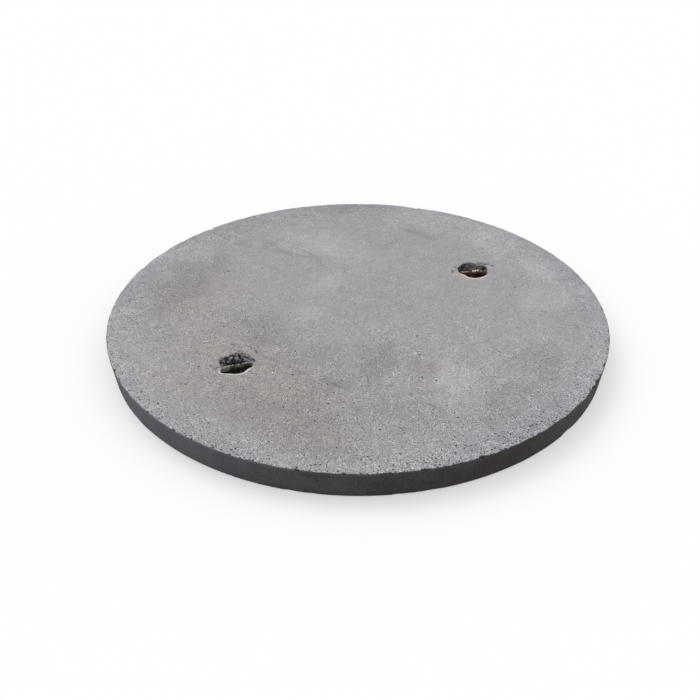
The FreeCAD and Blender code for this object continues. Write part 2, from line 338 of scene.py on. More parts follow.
def smooth_noise(points, size, seed):
    """Random values at lattice corners one size apart, blended by 3t^2 - 2t^3 along each axis: -1 to 1."""
    scaled = points / size
    cell = np.floor(scaled).astype(np.int64)
    t = scaled - cell
    t = t * t * (3 - 2 * t)
    total = np.zeros(points.shape[:-1])
    for corner in np.ndindex(2, 2, 2):
        weight = np.prod(np.where(corner, t, 1 - t), axis=-1)
        total += weight * hashed(cell + np.array(corner), seed)
    return 2 * total - 1


def rough_noise(points, millimetres, octaves, seed):
    """Octaves of smooth noise added up, each half as large and half as strong as the one before."""
    size = millimetres * MM
    return sum(smooth_noise(points, size / 2**octave, seed + octave) / 2**octave for octave in range(octaves))


def patch_reach(x, y, patch):
    """Oval distance from a patch's middle: 1 at its half length and its half width."""
    turn = math.radians(patch.turn)
    dx, dy = x - patch.x * MM, y - patch.y * MM
    along = (dx * math.cos(turn) + dy * math.sin(turn)) / (patch.long * MM)
    across = (dy * math.cos(turn) - dx * math.sin(turn)) / (patch.wide * MM)
    return np.hypot(along, across)


def patch_weight(x, y, patch):
    """Bell over the oval distance from a patch's middle."""
    return bell(patch_reach(x, y, patch))


def flat_patches(x, y, patches, inner, outer):
    """Sum of patches that are level within the inner share of their reach and fade out to the outer one."""
    return sum(patch.amount * (1 - ease(inner, outer, patch_reach(x, y, patch))) for patch in patches)


def stroke_weight(x, y, stroke):
    """Bell over the distance to the nearest of a stroke's straight runs."""
    points = np.array(stroke.points) * MM
    nearest = np.full(x.shape, np.inf)
    for start, end in zip(points[:-1], points[1:]):
        run = end - start
        share = np.clip(((x - start[0]) * run[0] + (y - start[1]) * run[1]) / (run @ run), 0, 1)
        nearest = np.minimum(nearest, np.hypot(x - start[0] - share * run[0], y - start[1] - share * run[1]))
    return bell(nearest / (stroke.wide * MM))


def rim_fall(radius):
    """How far the face falls towards its rim, by radius."""
    return RIM_FALL * MM * ease(*FALL_SPAN, radius)


class Paint:
    """Layers of colour over each other at each point: colour and how much of it covers what is below."""

    def __init__(self, count):
        self.colour = np.zeros((count, 3))
        self.cover = np.zeros(count)

    def lay(self, hex_code, share, where=slice(None)):
        """Lays one colour over the rest: cover' = share + cover (1 - share), and colours mix in that ratio."""
        share = np.clip(share, 0, 1)
        cover = self.cover[where] * (1 - share) + share
        ratio = np.where(cover > 0, share / np.maximum(cover, 1e-9), 0)[:, None]
        self.colour[where] += (np.array(linear(hex_code)[:3]) - self.colour[where]) * ratio
        self.cover[where] = cover

    def values(self):
        """Red, green, blue and cover of each point."""
        return np.c_[self.colour, self.cover]


def build_piece(name, points, quads, triangles, attributes, material):
    """Puts points and faces into a mesh with smooth shading and one attribute for each field of values."""
    mesh = bpy.data.meshes.new(name)
    corners = np.concatenate([quads.ravel(), triangles.ravel()]).astype(np.int32)
    sides = np.concatenate([np.full(len(quads), 4), np.full(len(triangles), 3)]).astype(np.int32)
    starts = np.concatenate([[0], np.cumsum(sides)[:-1]]).astype(np.int32)
    mesh.vertices.add(len(points))
    mesh.vertices.foreach_set("co", points.astype(np.float32).ravel())
    mesh.loops.add(len(corners))
    mesh.loops.foreach_set("vertex_index", corners)
    mesh.polygons.add(len(sides))
    mesh.polygons.foreach_set("loop_start", starts)
    mesh.polygons.foreach_set("use_smooth", np.ones(len(sides), bool))
    for field, values in attributes.items():
        kind, slot = ("FLOAT_COLOR", "color") if values.ndim == 2 else ("FLOAT", "value")
        layer = mesh.attributes.new(field, kind, "POINT")
        layer.data.foreach_set(slot, values.astype(np.float32).ravel())
    mesh.update(calc_edges=True)
    if mesh.validate():
        raise RuntimeError(f"{name} has faces that are not sound")
    mesh.materials.append(material)
    piece = bpy.data.objects.new(name, mesh)
    bpy.context.scene.collection.objects.link(piece)
    return piece


def length_property(name, description, millimetres):
    """A property that holds a length."""
    return bpy.props.FloatProperty(name=name, description=description, default=millimetres * MM, unit="LENGTH")


def angle_property(name, description, degrees):
    """A property that holds an angle."""
    return bpy.props.FloatProperty(
        name=name, description=description, default=math.radians(degrees), subtype="ANGLE")


def colour_property(name, description, hex_code):
    """A property that holds a colour."""
    return bpy.props.FloatVectorProperty(
        name=name, description=description, default=linear(hex_code), subtype="COLOR", size=4)


# The casting


def pocket_profile(sizes):
    """Radius and depth along a pocket's section, from the middle of its floor out to its reach on the face: flat
    floor, a hollow tangent to floor and wall, the wall leaning out by the draft, and a small lip."""
    lean, lip = sizes.pocket_draft, sizes.pocket_lip
    mouth, deep, hollow = sizes.pocket_radius, sizes.pocket_depth, sizes.pocket_hollow
    middle = mouth - (deep - hollow) * math.tan(lean) - hollow / math.cos(lean)
    turn = np.linspace(math.pi / 2, -lean, 9)
    radius = [0, *(middle + hollow * np.cos(turn)), mouth - lip * math.tan(lean), mouth + 0.4 * lip,
              mouth + 1.6 * lip, sizes.pocket_reach]
    depth = [deep, *(deep - hollow + hollow * np.sin(turn)), lip, 0.3 * lip, 0, 0]
    return np.array(radius), np.array(depth)


class Sunk(NamedTuple):
    """Where the face's points lie in a pocket: bearing, radius before any wear, depth below the face, and how far
    lumps stand out of the wall (mm)."""
    bearing: np.ndarray
    radius: np.ndarray
    depth: np.ndarray
    proud: np.ndarray


def clean_rings(sizes, place, border):
    """Bearing, radius and depth of rings from a closed border of face points in to the pocket's floor. They draw
    in to a circle of even bearings, then follow the pocket's section by length."""
    bearing = np.unwrap(np.arctan2(border[:, 1] - place[1], border[:, 0] - place[0]))
    away = np.hypot(border[:, 0] - place[0], border[:, 1] - place[1])
    even = bearing[0] + 2 * math.pi * np.arange(len(border)) / len(border)
    share = np.linspace(0, 1, sizes.apron_rings + 1)[1:-1, None]
    section_radius, section_depth = pocket_profile(sizes)
    length = np.concatenate([[0], np.cumsum(np.hypot(np.diff(section_radius), np.diff(section_depth)))])
    along = np.linspace(length[-1], sizes.pocket_step, round(length[-1] / sizes.pocket_step))[:, None]
    level = np.zeros((1, len(border)))
    bearing = np.concatenate([bearing + (even - bearing) * share, even + 0 * along])
    radius = np.concatenate([away + (sizes.pocket_reach - away) * share,
                             np.interp(along, length, section_radius) + level])
    depth = np.concatenate([share * level, np.interp(along, length, section_depth) + level])
    return bearing, radius, depth


def pocket_rings(pocket, sizes, border):
    """A pocket's rings with their wear: lobes bend the rim, noise breaks its edge, lumps push the wall in and
    hollows push it out. Returns x and y by ring and where the points lie in the pocket."""
    place, mouth = MOUNTS[pocket.mount]["pos_m"], sizes.pocket_radius
    bearing, radius, depth = clean_rings(sizes, place, border)
    clean = radius.copy()

    # Wear fades out on the floor and towards the face around
    close = ease(0.25, 0.6, clean / mouth) * (1 - ease(1.05, 1.6, clean / mouth))
    for lobe in pocket.rim:
        radius += lobe.amount * MM * lobe_weight(bearing, lobe) * close
    spot = np.stack([radius * np.cos(bearing), radius * np.sin(bearing), depth], -1)
    wall = ease(0.3 * MM, 3 * MM, depth)
    proud = np.zeros_like(radius)
    # Lumps are wider than they are tall
    lump = rough_noise(spot * (1, 1, 1.4), LUMP, 3, pocket.seed)
    for lobe in pocket.lumps:
        proud += lobe.amount * lobe_weight(bearing, lobe) * lump
    for hollow in pocket.hollows:
        aside = np.radians(turned(bearing, hollow.bearing)) * clean
        proud -= hollow.amount * bell(np.hypot(aside, depth - hollow.depth * MM) / (hollow.wide * MM))
    radius -= proud * MM * wall * close
    edge = bell((depth - 1 * MM) / (5 * MM)) * close
    breaks = rough_noise(spot, 7, 3, pocket.seed + 5)
    radius += pocket.ragged.amount * MM * lobe_weight(bearing, pocket.ragged) * edge * breaks
    depth = np.maximum(depth - 1.0 * MM * wall * rough_noise(spot, 6, 2, pocket.seed + 9), 0)
    x, y = place[0] + radius * np.cos(bearing), place[1] + radius * np.sin(bearing)
    return x, y, Sunk(bearing, clean, depth, proud)


def trowelled_depth(x, y):
    """How far the face lies below its highest plane: broad waves, narrow ridges bent round a far middle as a
    swung trowel leaves them, strokes of its edge, spalls, cracks and a fall towards the rim."""
    flat = on_plane(x, y)
    waves = WAVE * MM * (1 + rough_noise(flat, 140, 3, 3) / THREE_OCTAVES)
    from_x, from_y = x + 0.2, y - 0.1
    swing = np.stack([np.hypot(from_x, from_y) * 4, np.arctan2(from_y, from_x) * 0.35, np.zeros_like(x)], -1)
    ridges = RIDGE * MM * (1 + smooth_noise(swing, 60 * MM, 5))
    depth = waves + ridges + rim_fall(np.hypot(x, y))
    for stroke in STROKES:
        depth += STROKE_DEPTH * MM * max(-stroke.amount, 0) * stroke_weight(x, y, stroke)
    for crack in CRACKS:
        depth += CRACK_DEPTH * MM * stroke_weight(x, y, crack)
    broken = 0.8 + 0.5 * rough_noise(flat, 4, 2, 8)
    for spall in SPALLS:
        depth += spall.amount * MM * patch_weight(x, y, spall) * broken
    return np.maximum(depth, 0)


def ring_quads(rows):
    """Faces between rows of point numbers, the innermost row first, each row closed on itself."""
    rows = np.concatenate([rows, rows[:, :1]], axis=1)
    return np.stack([rows[:-1, :-1], rows[1:, :-1], rows[1:, 1:], rows[:-1, 1:]], -1).reshape(-1, 4)


def border_of(number, i0, i1, j0, j1):
    """Point numbers round a block of a grid, counter-clockwise seen from above."""
    return np.concatenate([number[i0:i1, j0], number[i1, j0:j1], number[i1:i0:-1, j1], number[i0, j1:j0:-1]])


def face_surface(sizes, disc):
    """The trowelled face: a square grid drawn out to a disc, x = R u sqrt(1 - v^2 / 2) and
    y = R v sqrt(1 - u^2 / 2), with a block left out at each pocket and filled with the pocket's rings. Returns
    its points, quads and triangles, the point numbers round its rim and where the points lie in each pocket."""
    cells = 2 * round(disc / sizes.grid_step)
    u, v = np.meshgrid(*[np.linspace(-1, 1, cells + 1)] * 2, indexing="ij")
    x, y = disc * u * np.sqrt(1 - v**2 / 2), disc * v * np.sqrt(1 - u**2 / 2)
    half = sizes.block // 2
    kept, whole = np.ones(x.shape, bool), np.ones((cells, cells), bool)
    blocks = []
    for pocket in POCKETS:
        place = MOUNTS[pocket.mount]["pos_m"]
        i, j = np.unravel_index(np.argmin(np.hypot(x - place[0], y - place[1])), x.shape)
        kept[i - half + 1:i + half, j - half + 1:j + half] = False
        whole[i - half:i + half, j - half:j + half] = False
        blocks.append((i - half, i + half, j - half, j + half))
    number = (np.cumsum(kept) - 1).reshape(x.shape)
    quads = [np.stack([number[:-1, :-1], number[1:, :-1], number[1:, 1:], number[:-1, 1:]], -1)[whole]]
    rim = border_of(number, 0, cells, 0, cells)
    flat = [np.stack([x[kept], y[kept]], -1)]
    triangles, sunk, count = [], [], len(flat[0])
    for pocket, block in zip(POCKETS, blocks):
        border = border_of(number, *block)
        ring_x, ring_y, shape = pocket_rings(pocket, sizes, flat[0][border])
        rows = count + np.arange(ring_x.size).reshape(ring_x.shape)
        pole = count + ring_x.size
        quads.append(ring_quads(np.concatenate([border[None], rows])[::-1]))
        triangles.append(np.stack([np.full(len(border), pole), rows[-1], np.roll(rows[-1], -1)], -1))
        rings = np.stack([ring_x, ring_y], -1)
        flat += [rings.reshape(-1, 2), rings[-1].mean(axis=0)[None]]
        sunk.append((count, Sunk(*(np.append(field, field[-1].mean()) for field in shape))))
        count = pole + 1
    x, y = np.concatenate(flat).T
    z = SLAB_HIGH.z - trowelled_depth(x, y)
    for first, shape in sunk:
        z[first:first + len(shape.depth)] -= shape.depth
    return np.stack([x, y, z], -1), np.concatenate(quads), np.concatenate(triangles), rim, sunk


def edge_section(sizes):
    """Radius and height down the slab's edge, from the face to the underside: worn arris as a quarter round,
    tapering side, sloped lower edge and the flat underside in to its middle."""
    top, arris = SLAB_HIGH.z, sizes.arris
    turn = np.linspace(0, math.pi / 2, 6)
    side = np.linspace(top - arris, sizes.foot_slope, 11)[1:]
    lean = sizes.side_taper / top
    foot = OUTER - lean * (top - arris - sizes.foot_slope)
    face = OUTER - arris * np.array([5, 4, 3, 2])
    floor = np.array([1, 0.97, 0.6, 0.2]) * (foot - sizes.foot_slope)
    radius = np.concatenate([
        face, OUTER - arris + arris * np.sin(turn), OUTER - lean * (top - arris - side), floor])
    height = np.concatenate([
        np.full(len(face), top), top - arris + arris * np.cos(turn), side, np.zeros(len(floor))])
    return radius, height


def worn_edge(angle, radius, height, sizes):
    """Wears the edge's section at each angle, inwards only: chips with broken floors on the arris, a form
    skin that waves a little down the side, and nicks along the foot. Returns how much was chipped off too."""
    top, arris = SLAB_HIGH.z, sizes.arris
    ring = np.stack([np.cos(angle) * OUTER, np.sin(angle) * OUTER, height], -1)
    corner = np.hypot(radius - OUTER + 0.3 * arris, height - top + 0.3 * arris)
    crumbs = rough_noise(ring, 11, 3, 41)
    chips = CRUMBLE * MM * (1 + rough_noise(ring, 40, 2, 43)) * np.maximum(0.4 + crumbs, 0)
    for chip in CHIPS:
        across = np.radians(turned(angle, chip.bearing)) * OUTER / (chip.wide * MM)
        chips = chips + chip.deep * MM * bell(across) * (0.8 + 0.6 * crumbs)
    chips = np.maximum(chips, 0) * bell(corner / (CHIP_REACH * MM)) * (height > 0)
    on_side = ease(0, 4 * arris, top - height) * (height > 0)
    skin = SKIN_WAVE * MM * (1 + rough_noise(ring, 70, 3, 53) / THREE_OCTAVES) * on_side
    nicks = np.maximum(rough_noise(ring, 30, 3, 59) - 0.25, 0) * bell((height - 3 * MM) / (5 * MM))
    nicks = NICK * MM * nicks * (radius > 0.95 * OUTER)
    fall = rim_fall(radius) * (height > top - arris)
    return radius - chips - skin - nicks, height - np.where(height > 0, 0.8 * chips + fall, 0), chips


def edge_surface(sizes, rim, angle, first):
    """The worn section carried round the face's own rim, down the side and in to a pole in the middle of the
    underside. Returns its points and faces, how far each point is past the arris and how much was chipped."""
    section_radius, section_height = edge_section(sizes)
    angle, radius, height = np.broadcast_arrays(angle, section_radius[:, None], section_height[:, None])
    worn_radius, worn_height, chips = worn_edge(angle, radius, height, sizes)
    points = np.stack([worn_radius * np.cos(angle), worn_radius * np.sin(angle), worn_height], -1)
    rows = np.concatenate([rim[None, :], first + np.arange(angle.size).reshape(angle.shape)])
    pole = first + angle.size
    triangles = np.stack([rows[-1], np.full(len(rim), pole), np.roll(rows[-1], -1)], -1)
    past = SLAB_HIGH.z - height - np.maximum(OUTER - radius, 0) * (height > 0)
    return (np.concatenate([points.reshape(-1, 3), [[0, 0, 0]]]), ring_quads(rows), triangles,
            np.append(past.ravel(), SLAB_HIGH.z), np.append(chips.ravel(), 0))


def weather_fields(points, past):
    """Tone and warmth of the paste, how gritty it is, and how far it was cast against the form: sums of patches
    and strokes whose outlines noise bends, changed towards the rim and past the arris; past it the tone is the
    side's painted light and shade by bearing."""
    x, y, _ = points.T
    flat, radius = on_plane(x, y), np.hypot(x, y)
    drift_x, drift_y = (at + 22 * MM * rough_noise(flat, 60, 4, seed) for at, seed in ((x, 71), (y, 75)))
    jog_x, jog_y = (at + 2 * MM * rough_noise(flat, 9, 2, seed) for at, seed in ((x, 79), (y, 81)))
    breaks = np.clip(0.7 + 0.8 * rough_noise(flat, 24, 2, 85), 0, 1.2)
    rim = ease(0.425, 0.487, radius + 20 * MM * rough_noise(flat, 80, 4, 83))

    tone = flat_patches(drift_x, drift_y, TONES, 0.3, 1.5)
    tone += sum(stroke.amount * stroke_weight(jog_x, jog_y, stroke) for stroke in STROKES) * breaks
    tone -= 0.18 * rim
    warmth = flat_patches(drift_x, drift_y, WARMTHS, 0.5, 1.4) - 0.8 * rim
    warmth += 0.25 * rough_noise(flat, 70, 4, 89)

    # Sand shows most towards the front, at the rim and just before the arris
    front = ease(-0.25, 0.45, -0.6 * drift_x - 0.8 * drift_y)
    grit = 0.55 * front + (0.2 + 0.15 * front) * rim
    grit += sum(patch.amount * patch_weight(drift_x, drift_y, patch) for patch in GRITS)
    grit += 0.25 * front * ease(-9.5 * MM, -4 * MM, past)

    # The side's painted light and shade go by bearing, so they fade out under the cover
    ragged = 1.6 * MM * rough_noise(flat, 13, 2, 87) * ease(-9 * MM, -2 * MM, past)
    form = ease(-3.0 * MM, 1.2 * MM, past + ragged)
    side = sum(lobe.amount * lobe_weight(np.arctan2(y, x), lobe) for lobe in SIDE_LIGHT_AND_SHADE)
    side = side * ease(0.40, 0.48, radius)
    return {"tone": tone + (side - tone) * form, "warmth": warmth, "grit": grit, "form": form}


def paint_pocket(paint, pocket, first, shape, points, sizes):
    """Coats on one pocket's wall, painted shade where it is hollow and a painted highlight where it stands proud,
    and a painted highlight on its lip.
    """
    inside = slice(first, first + len(shape.depth))
    deep = shape.depth / MM
    in_pocket = ease(0.5, 2.0, deep)
    patchy = 1 + 0.5 * rough_noise(points[inside], 5, 3, pocket.seed + 31)
    for coat in pocket.coats:
        share = bell(turned(shape.bearing, coat.bearing) / coat.wide) ** 0.5 * in_pocket
        share = share * ease(coat.upper - 2, coat.upper + 2, deep)
        share = share * (1 - ease(coat.lower - 4, coat.lower + 4, deep))
        paint.lay(coat.colour, coat.share * share * patchy, inside)
    # Painted shade in the wall's hollows
    paint.lay(HOLLOW_SHADE, 0.95 * in_pocket * ease(0.3, 1.6, -shape.proud), inside)
    # Painted highlight on the lumps that stand proud
    proud = ease(0.45, 1.3, shape.proud) * (1 - ease(12, 19, deep))
    paint.lay(pocket.proud_highlight_colour, 0.85 * in_pocket * proud, inside)
    # Painted highlight along the pocket's front lip
    lip = bell((shape.radius - sizes.pocket_radius - 1.5 * MM) / (pocket.lip.amount * MM))
    away = np.abs(turned(shape.bearing, pocket.lip.bearing))
    front = 1 - ease(pocket.lip.wide - 15, pocket.lip.wide + 15, away)
    paint.lay(pocket.lip_highlight_colour, lip * front * (1 - ease(2.5, 5, deep)) * np.clip(patchy, 0, 0.95), inside)


def paint_face(points, sunk, sizes):
    """Colours on the face: dark cracks and spalls, what is painted in each pocket, and rust washed over a lip."""
    paint = Paint(len(points))
    x, y, _ = points.T
    broken = np.clip(0.55 + 0.9 * rough_noise(on_plane(x, y), 5, 2, 91), 0, 1)
    for crack in CRACKS:
        paint.lay(CRACK_DIRT, -crack.amount * stroke_weight(x, y, crack) * broken)
    for spall in SPALLS:
        paint.lay(SPALL_DIRT, 1.2 * patch_weight(x, y, spall) * broken)
    for pocket, (first, shape) in zip(POCKETS, sunk):
        paint_pocket(paint, pocket, first, shape, points, sizes)
    for painted_mark in RUST_STAINS:
        paint.lay(RUST_WASH, painted_mark.amount * patch_weight(x, y, painted_mark) * broken)
    return paint.values()


class SlabSizes(bpy.types.PropertyGroup):
    """Sizes of the casting and how finely it is drawn."""
    side_taper: length_property("Side taper", "How much smaller the underside's radius is than the face's", 9)
    arris: length_property("Arris", "Radius of the worn upper edge", 1.8)
    foot_slope: length_property("Foot slope", "Height and width of the sloped lower edge", 4)
    pocket_radius: length_property("Pocket radius", "Radius of a lifting pocket at the face", 35)
    pocket_depth: length_property("Pocket depth", "Depth of a lifting pocket's floor", 38)
    pocket_draft: angle_property("Pocket draft", "Lean of a pocket's wall", 12)
    pocket_hollow: length_property("Pocket hollow", "Radius between a pocket's wall and floor", 14)
    pocket_lip: length_property("Pocket lip", "Width of the worn edge round a pocket", 2)
    pocket_reach: length_property("Pocket reach", "Radius within which the grid follows a pocket", 60)
    grid_step: length_property("Grid step", "Spacing of the face's grid", 4.6)
    pocket_step: length_property("Pocket step", "Spacing of the rings in the pockets", 1.3)
    block: bpy.props.IntProperty(
        name="Block", description="Grid cells along each side of the block that a pocket's rings fill", default=40)
    apron_rings: bpy.props.IntProperty(
        name="Apron rings", description="Rings between the block's border and the pocket's reach", default=12)


class CastSlab(bpy.types.Operator):
    """Casts the slab with its worn edge and both lifting pockets"""
    bl_idname = "cover.cast_slab"
    bl_label = "Cast slab"

    def execute(self, context):
        sizes = context.scene.cover_slab
        disc = edge_section(sizes)[0][0] - sizes.grid_step / 2
        face, face_quads, floors, rim, sunk = face_surface(sizes, disc)
        angle = np.arctan2(face[rim, 1], face[rim, 0])
        edge, edge_quads, underside, past, chips = edge_surface(sizes, rim, angle, len(face))
        points = np.concatenate([face, edge])
        fields = weather_fields(points, np.concatenate([np.full(len(face), -OUTER), past]))
        # Painted shade on the floors of the chips off the arris
        worn = Paint(len(edge))
        worn.lay(CHIP_SHADE, 0.85 * ease(1.2 * MM, 2.4 * MM, chips))
        fields["painted_mark"] = np.concatenate([paint_face(face, sunk, sizes), worn.values()])
        material = trowelled_concrete(context.scene.cover_finish)
        quads, triangles = np.concatenate([face_quads, edge_quads]), np.concatenate([floors, underside])
        slab = build_piece("slab", points, quads, triangles, fields, material)
        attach(slab, "root")
        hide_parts("cover_slab")
        return {"FINISHED"}


# The lifting bars


class MortarAndShading(NamedTuple):
    """A lump of mortar on a bar, also used for bands of painted shade and painted highlight: place along it (mm),
    bearing round it (degrees, 90 is up), half length (mm), half width (degrees), thickness (mm) and colour."""
    along: float
    bearing: float
    long: float
    wide: float
    thick: float
    colour: str


class Bar(NamedTuple):
    """One lifting bar: the node it stands for, its mount, its turn in plan (degrees), the thickness of the mortar
    or scale on it (mm), its mortar lumps and bands of painted shade and highlight, and the seed of its noise."""
    node: str
    mount: str
    yaw: float
    skin: float
    mortar_and_shading: tuple
    seed: int


NEAR_BAR = Bar(
    node="near_lifting_bar", mount="near_lifting_point", yaw=-20, skin=1.4, seed=101,
    # Mortar lumps, with bands of painted shade at bearings 152 to 195 on the bar's front and underside and painted
    # highlights at 72 to 76 along its top
    mortar_and_shading=records(
        MortarAndShading, (-8, 175, 12, 80, 0.1, "0b0a07"), (6, 195, 8, 50, 0.1, "15130d"),
        (20, 152, 12, 60, 0.1, "1d1b14"), (-23, 150, 8, 90, 1.2, "83807a"), (-14, 76, 9, 24, 0.9, "9b988c"),
        (2, 72, 9, 22, 1.0, "a19e91"), (16, 76, 12, 22, 0.9, "96938a"), (30, 95, 5, 120, 2.2, "8f8d86"),
    ))
FAR_BAR = Bar(
    node="far_lifting_bar", mount="far_lifting_point", yaw=-35, skin=0.4, seed=131,
    mortar_and_shading=records(
        MortarAndShading, (-17, 85, 8, 36, 0.9, "9d876c"), (-9, 60, 5, 30, 0.4, "6d5c3c"),
        (-0.5, 66, 2.8, 50, 3.6, "eae7e4"), (4.7, 78, 1.8, 40, 2.2, "dcd6d4"),
        (9.5, 70, 4.5, 50, 3.4, "aa9ca4"), (18, 72, 4, 45, 1.2, "86735a"),
    ))


def bar_stations(sizes):
    """Places of rings along a bar, from -1 to 1. One lies wherever the running total of 1 / step passes a whole
    number, and the step is fine in the pocket and eases to coarse in the concrete."""
    place = np.linspace(-1, 1, 8001)
    close = 1 - ease(0.32, 0.42, np.abs(place))
    per_step = 1 / (sizes.station + (sizes.pocket_station - sizes.station) * close)
    total = np.concatenate([[0], np.cumsum((per_step[1:] + per_step[:-1]) / 2 * np.diff(place))])
    return np.interp(np.linspace(0, total[-1], round(total[-1]) + 1), total, place)


def bar_line(along, drop, sizes):
    """Reach, fall and heading of a bar's middle line, and the distance walked, at each share of its half length.
    The heading is level, turns down to the crank angle over the upper bend and back to level over the lower one,
    and reach and fall are the running totals of its cosine and sine."""
    angle, bend = sizes.crank_angle, sizes.bend_radius
    turn = bend * angle
    slope = (drop - 2 * bend * (1 - math.cos(angle))) / math.sin(angle)
    total = sizes.half_run + 2 * turn + slope + sizes.leg
    walk = np.linspace(0, total, 6001)
    heading = angle * (np.clip((walk - sizes.half_run) / turn, 0, 1)
                       - np.clip((walk - sizes.half_run - turn - slope) / turn, 0, 1))
    middles, step = (heading[1:] + heading[:-1]) / 2, walk[1]
    reach = np.concatenate([[0], np.cumsum(np.cos(middles) * step)])
    fall = np.concatenate([[0], np.cumsum(np.sin(middles) * step)])
    far, side = np.abs(along) * total, np.sign(along)
    return (side * np.interp(far, walk, reach), np.interp(far, walk, fall),
            side * np.interp(far, walk, heading), along * total)


def bar_surface(bar, sizes):
    """A ring carried along the bar's line. Its radius is the steel's, with a mortar skin, lumps of mortar and
    rust scale added only where the bar crosses its pocket. Both ends close in a pole."""
    mount = MOUNTS[bar.mount]
    steel = mount["dims"]["r_mm"] * MM
    middle = np.array(mount["pos_m"])
    low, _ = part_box(bar.node)
    reach, fall, heading, walked = bar_line(bar_stations(sizes), middle[2] - low.z - steel, sizes)
    walked = walked[:, None]
    around = np.linspace(0, 2 * math.pi, sizes.sides + 1)[:-1]
    shown = 1 - ease(*(end * MM for end in SHOWN_SPAN), np.abs(walked))
    spot = np.stack(np.broadcast_arrays(walked, 5 * MM * np.cos(around), 5 * MM * np.sin(around)), -1)
    skin = bar.skin * MM * (0.75 + 0.7 * rough_noise(spot, 7, 3, bar.seed))
    scale = SCALE * MM * rough_noise(spot, 3, 2, bar.seed + 7)
    radius = steel + shown * np.maximum(skin + scale, -0.6 * MM)
    uneven = 1 + 0.7 * rough_noise(spot, 4, 3, bar.seed + 13)
    paint = Paint(radius.size)
    # Each mark is a mortar lump or a band of painted shade or painted highlight
    for crust in bar.mortar_and_shading:
        gap = np.hypot((walked / MM - crust.along) / crust.long, turned(around, crust.bearing) / crust.wide)
        share = bell(gap) * uneven
        radius = radius + shown * crust.thick * MM * share
        paint.lay(crust.colour, (shown * ease(0.25, 0.75, share)).ravel())
    yaw = math.radians(bar.yaw)
    aside, upright = radius * np.cos(around), radius * np.sin(around)
    out = reach[:, None] + upright * np.sin(heading)[:, None]
    points = np.stack([middle[0] + out * math.cos(yaw) - aside * math.sin(yaw),
                       middle[1] + out * math.sin(yaw) + aside * math.cos(yaw),
                       middle[2] - fall[:, None] + upright * np.cos(heading)[:, None]], -1)
    ends = points[[0, -1]].mean(axis=1)
    rows = np.arange(radius.size).reshape(radius.shape)
    first, last = radius.size, radius.size + 1
    caps = [np.stack([np.full(sizes.sides, first), rows[0], np.roll(rows[0], -1)], -1),
            np.stack([np.full(sizes.sides, last), np.roll(rows[-1], -1), rows[-1]], -1)]
    painted_mark = np.concatenate([paint.values(), np.zeros((2, 4))])
    points = np.concatenate([points.reshape(-1, 3), ends])
    return points, ring_quads(rows), np.concatenate(caps), {"painted_mark": painted_mark}


class BarSizes(bpy.types.PropertyGroup):
    """Sizes that both lifting bars share and how finely they are drawn."""
    half_run: length_property("Half run", "Length of the level run from the pocket's middle to the bend", 47)
    bend_radius: length_property("Bend radius", "Radius of the bar's middle line in its bends", 20)
    crank_angle: angle_property("Crank angle", "Slope of the bar between its bends", 25)
    leg: length_property("Leg", "Length of the level end cast into the slab", 40)
    station: bpy.props.FloatProperty(
        name="Station", description="Spacing of rings in the concrete, as a share of the half length",
        default=0.03, subtype="FACTOR")
    pocket_station: bpy.props.FloatProperty(
        name="Pocket station", description="Spacing of rings in the pocket, as a share of the half length",
        default=0.006, subtype="FACTOR")
    sides: bpy.props.IntProperty(name="Sides", description="Points round a ring", default=40)


class BendBars(bpy.types.Operator):
    """Bends both lifting bars and leaves them in their pockets"""
    bl_idname = "cover.bend_bars"
    bl_label = "Bend lifting bars"

    def execute(self, context):
        finish = context.scene.cover_finish
        materials = mortared_steel(finish), rusted_steel(finish)
        for bar, material in zip((NEAR_BAR, FAR_BAR), materials):
            name = bar.node.replace("_lifting", "")
            piece = build_piece(name, *bar_surface(bar, context.scene.cover_bars), material)
            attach(piece, "root")
            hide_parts(bar.node)
        return {"FINISHED"}


# Finishes


class Finish(bpy.types.PropertyGroup):
    """Colours of the concrete and the steel."""
    paste_dark: colour_property("Dark paste", "Damp or soiled cement paste", "6b6a6c")
    paste: colour_property("Paste", "Trowelled cement paste", "a19fa2")
    paste_pale: colour_property("Pale paste", "Laitance and bare sand", "d4d3d6")
    warm: colour_property("Warm tint", "Tint of iron-stained paste", "fffcf5")
    cool: colour_property("Cool tint", "Tint of fresh bluish cement", "fbfcff")
    # The pin-hole colour is painted shade in open air bubbles
    pin_hole: colour_property("Pin-hole", "Dirt in open air bubbles", "2b2826")
    # The form face's two colours are darker than the paste's, partly as soiled concrete and partly as painted
    # shade on the side
    side_dark: colour_property("Dark side", "Soiled form face", "4c4646")
    side_pale: colour_property("Pale side", "Cleaner form face", "7d7d85")
    rust_dark: colour_property("Dark rust", "Old scale on the steel", "190b06")
    rust: colour_property("Rust", "Rust on the steel", "5a2a10")
    crust_dark: colour_property("Dark mortar skin", "Soil in the mortar left on the steel", "1c1a11")
    crust: colour_property("Mortar skin", "Mortar left on the steel", "5e5b48")


def add(tree, kind, inputs=None, **settings):
    """Adds a node, sets its settings and fills its inputs: a socket is linked, so is the first output in use of a
    node, and a plain value is set."""
    made = tree.nodes.new("ShaderNode" + kind)
    for name, value in settings.items():
        setattr(made, name, value)
    for key, value in (inputs or {}).items():
        if isinstance(value, bpy.types.Node):
            value = next(output for output in value.outputs if output.enabled)
        if isinstance(value, bpy.types.NodeSocket):
            tree.links.new(value, made.inputs[key])
        else:
            made.inputs[key].default_value = value
    return made


def start_material(name, constants):
    """A material with one Principled shader with these constants, its tree and its Object coordinates."""
    material = bpy.data.materials.new(name)
    material.use_nodes = True
    tree = material.node_tree
    shader = tree.nodes["Principled BSDF"]
    for key, value in constants.items():
        shader.inputs[key].default_value = value
    return material, tree, shader, add(tree, "TexCoord").outputs["Object"]


